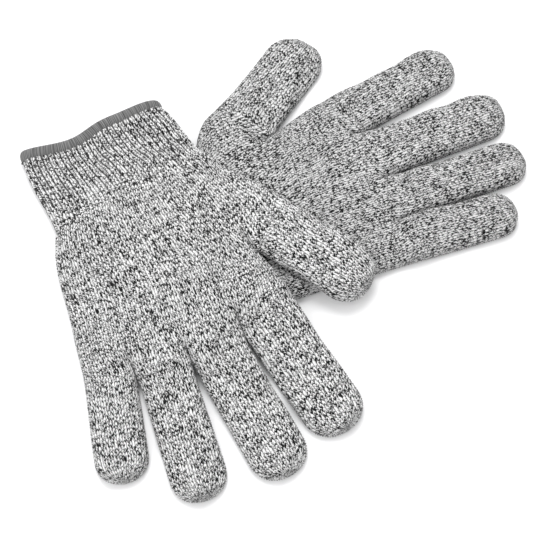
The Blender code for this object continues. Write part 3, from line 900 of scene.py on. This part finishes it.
def make_piece(name, co, quads, corner_knit, material):
    """A mesh of some of the skin's quads, with its stitch coordinates as a UV map."""
    used, index = np.unique(quads, return_inverse=True)
    index = index.reshape(quads.shape)
    mesh = bpy.data.meshes.new(name)
    mesh.vertices.add(len(used))
    mesh.vertices.foreach_set("co", co[used].astype(np.float32).ravel())
    mesh.loops.add(index.size)
    mesh.loops.foreach_set("vertex_index", index.ravel().astype(np.int32))
    mesh.polygons.add(len(index))
    mesh.polygons.foreach_set("loop_start", np.arange(0, index.size, 4, dtype=np.int32))
    mesh.update()
    layer = mesh.uv_layers.new(name="knit")
    layer.uv.foreach_set("vector", corner_knit.astype(np.float32).ravel())
    baked = mesh.uv_layers.new(name="OFBake")
    baked.uv.foreach_set("vector", bake_places(corner_knit).astype(np.float32).ravel())
    mesh.validate()
    mesh.shade_smooth()
    mesh.materials.append(material)
    piece = bpy.data.objects.new(name, mesh)
    bpy.context.scene.collection.objects.link(piece)
    return piece


def bend(piece, glove, place):
    """Bakes the piece's transform into its mesh."""
    point = glove.row(np.array([place]))[0]
    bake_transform(piece)


def hang_piece(piece, glove, part):
    """Rides the palm, and the under glove's cuff, on the glove's body; bakes the transform of any
    other piece.
    """
    name = glove.name
    body = f"{name}_glove"
    if part == "cuff" and name == "top":
        wrist = next(j for j in frame["joints"] if j["name"] == "top_wrist")
        place = glove.local(np.array([wrist["pos_m"]]))[0]
        bend(piece, glove, place)
    elif part in ("palm", "cuff"):
        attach(piece, body)
    else:
        lane, segment = part.split("_")
        order = PARTS[lane].index(segment)
        stall = glove.stall[lane]
        place = stall["places"][order]
        bend(piece, glove, place)


def build_glove(name, materials, grid):
    """The glove's skin in its pieces. Returns the glove, the skin and its places before relief."""
    glove = Glove(name)
    skin = Skin(glove)
    co = glove.row(skin.co)
    if grid is not None:
        co[:, 2] += sample(grid, co)
    calm = smooth(skin.co[:, 2] / CALM_HEIGHT) * smooth(skin.knit_at[:, 1] / CALM_COURSES)
    co[:, 2] += undulation(co) * calm
    smooth_co = co.copy()
    normals = grid_normals(co, skin.quads)
    height = stitch_height(skin.knit_at)
    ribbed = rib_share(skin.knit_at[:, 1])
    relief = STITCH_RELIEF * height * (1.0 - 0.5 * ribbed)
    relief += RIB_RELIEF * rib_height(skin.knit_at[:, 0]) * ribbed
    co = co + normals * relief[:, None]
    co[:, 2] = np.maximum(co[:, 2], LOWEST)
    for part in sorted(set(skin.part)):
        chosen = (skin.part == part) & (skin.bad < 2)
        quads, corner_knit = skin.quads[chosen], skin.corner_knit[chosen]
        piece = make_piece(f"{name}_{part}_skin", co, quads, corner_knit, materials[name])
        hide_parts(f"{name}_{part}")
        hang_piece(piece, glove, part)
    return glove, skin, smooth_co


def closed_run(points, step):
    """A closed run of points walked again at an even step; returns its points."""
    closed = np.vstack([points, points[:1]])
    run = np.concatenate([[0.0], np.cumsum(np.linalg.norm(np.diff(closed, axis=0), axis=1))])
    count = max(8, round(run[-1] / step))
    at = np.arange(count) / count * run[-1]
    return np.column_stack([np.interp(at, run, closed[:, axis]) for axis in range(3)])


def mouth_ring(skin):
    """The mouth's edge, once round, in the glove's frame."""
    b = np.linspace(0.0, 1.0, 400)
    ring = []
    for upper in (True, False):
        wide, tall = (PALM_TOP if upper else PALM_FOOT)(b)
        flat = skin.plan.mouth_at(5.0 * wide)
        z = MOUTH_LIFT + heights(tall, MOUTH_THICKNESS - MOUTH_LIFT, upper)
        side = np.column_stack([flat, z])
        ring.append(side[:-1] if upper else side[::-1][:-1])
    return np.concatenate(ring)


def hem_piece(glove, skin, grid, material):
    """The overlocked edge: a roll of thread wound over the mouth's edge."""
    ring = closed_run(mouth_ring(skin), THREAD_PITCH / THREAD_RINGS)
    run = np.roll(ring, -1, 0) - np.roll(ring, 1, 0)
    inward = np.column_stack([run[:, 2], np.zeros(len(run)), -run[:, 0]])
    inward /= np.linalg.norm(inward, axis=1)[:, None]
    centre = ring + inward * HEM_INSET - np.array([0.0, HEM_SETBACK, 0.0])
    centre = glove.row(centre)
    if grid is not None:
        centre[:, 2] += sample(grid, centre)
    ahead = np.roll(centre, -1, 0) - np.roll(centre, 1, 0)
    ahead /= np.linalg.norm(ahead, axis=1)[:, None]
    back = np.array([*(glove.turn @ np.array([0.0, 1.0])), 0.0])
    back = back - ahead * (ahead @ back)[:, None]
    back /= np.linalg.norm(back, axis=1)[:, None]
    out = np.cross(ahead, back)
    rings, sides = len(centre), HEM_SIDES
    turn = np.arange(sides) / sides * 2.0 * math.pi
    wind = np.arange(rings)[:, None] / THREAD_RINGS + turn[None, :] / (2.0 * math.pi)
    relief = THREAD_RELIEF * np.cos(2.0 * math.pi * wind)[:, :, None]
    wide = np.cos(turn)[None, :, None] * back[:, None, :]
    deep = np.sin(turn)[None, :, None] * out[:, None, :]
    co = centre[:, None, :] + (HEM_WIDTH + relief) * wide + (HEM_RADIUS + relief) * deep
    i, j = np.meshgrid(np.arange(rings), np.arange(sides), indexing="ij")
    corners = [(i, j), (i + 1, j), (i + 1, j + 1), (i, j + 1)]
    quads = np.stack([(a % rings) * sides + b % sides for a, b in corners], -1)
    uv = np.stack([np.stack([a / THREAD_RINGS, b / sides], -1) for a, b in corners], -2)
    co = co.reshape(-1, 3)
    co[:, 2] = np.maximum(co[:, 2], LOWEST)
    name = f"{glove.name}_hem"
    piece = make_piece(f"{name}_roll", co, quads.reshape(-1, 4), uv.reshape(-1, 4, 2), material)
    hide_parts(name)
    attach(piece, "top_cuff" if glove.name == "top" else "under_glove")


def elastic_piece(glove, skin, grid, material):
    """The elastic thread laid in behind the cuff's ribs."""
    points = []
    steps = ELASTIC_TURNS * ELASTIC_STEPS
    for i in range(steps + 1):
        share = mix(ELASTIC_MARGIN, 1.0 - ELASTIC_MARGIN, i / steps)
        points.append(skin.inner_point(i / ELASTIC_STEPS % 1.0, share))
    points = glove.row(np.array(points))
    if grid is not None:
        points[:, 2] += sample(grid, points)
    name = f"{glove.name}_cuff_elastic"
    curve = bpy.data.curves.new(f"{name}_thread", "CURVE")
    curve.dimensions = "3D"
    curve.bevel_depth = ELASTIC_RADIUS
    curve.bevel_resolution = 2
    curve.use_fill_caps = True
    spline = curve.splines.new("POLY")
    spline.points.add(len(points) - 1)
    spline.points.foreach_set("co", np.column_stack([points, np.ones(len(points))]).ravel())
    curve.materials.append(material)
    piece = bpy.data.objects.new(f"{name}_thread", curve)
    bpy.context.scene.collection.objects.link(piece)
    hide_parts(name)
    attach(piece, "top_cuff" if glove.name == "top" else "under_glove")


def look_at(camera, place, target):
    camera.location = place
    camera.rotation_euler = (target - place).to_track_quat("-Z", "Y").to_euler()


def area_light(name, place, size, power):
    data = bpy.data.lights.new(name, "AREA")
    data.shape = "DISK"
    data.size = size
    data.energy = power
    light = bpy.data.objects.new(name, data)
    bpy.context.scene.collection.objects.link(light)
    look_at(light, Vector(place), Vector((0, 0, 0)))


def make_floor():
    r = FLOOR_REACH
    mesh = bpy.data.meshes.new("floor")
    mesh.from_pydata([(-r, -r, 0), (r, -r, 0), (r, r, 0), (-r, r, 0)], [], [(0, 1, 2, 3)])
    floor = bpy.data.objects.new("floor", mesh)
    bpy.context.scene.collection.objects.link(floor)
    floor.location.z = -FLOOR_DROP
    material = bpy.data.materials.new("floor")
    material.use_nodes = True
    shader = material.node_tree.nodes["Principled BSDF"]
    shader.inputs["Base Color"].default_value = FLOOR_COLOUR
    shader.inputs["Roughness"].default_value = FLOOR_ROUGHNESS
    mesh.materials.append(material)


def make_world():
    world = bpy.data.worlds.new("studio")
    bpy.context.scene.world = world
    world.use_nodes = True
    background = world.node_tree.nodes["Background"]
    background.inputs[0].default_value = (1.0, 1.0, 1.0, 1.0)
    background.inputs[1].default_value = WORLD_LIGHT
    bpy.context.scene.view_settings.view_transform = "Standard"


def make_camera():
    azimuth, elevation = math.radians(AZIMUTH), math.radians(ELEVATION)
    away = Vector(
        (
            math.sin(azimuth) * math.cos(elevation),
            -math.cos(azimuth) * math.cos(elevation),
            math.sin(elevation),
        )
    )
    camera = bpy.data.objects.new("camera", bpy.data.cameras.new("camera"))
    bpy.context.scene.collection.objects.link(camera)
    look_at(camera, AIM + away * DISTANCE, AIM)
    camera.data.lens = LENS
    bpy.context.scene.camera = camera


# ------------------------------------------------------------------------------ the scene

materials = {
    "top": knit_material("top"),
    "under": knit_material("under"),
    "hem": hem_material(),
    "elastic": elastic_material(),
}
under, under_skin, under_co = build_glove("under", materials, None)
grid = drape_grid(under_co)
top, top_skin, _ = build_glove("top", materials, grid)
hem_piece(under, under_skin, None, materials["hem"])
hem_piece(top, top_skin, grid, materials["hem"])
elastic_piece(under, under_skin, None, materials["elastic"])
elastic_piece(top, top_skin, grid, materials["elastic"])

make_floor()
make_world()
for light_name, (light_place, light_size, light_power) in LIGHTS.items():
    area_light(light_name, light_place, light_size, light_power)
make_camera()
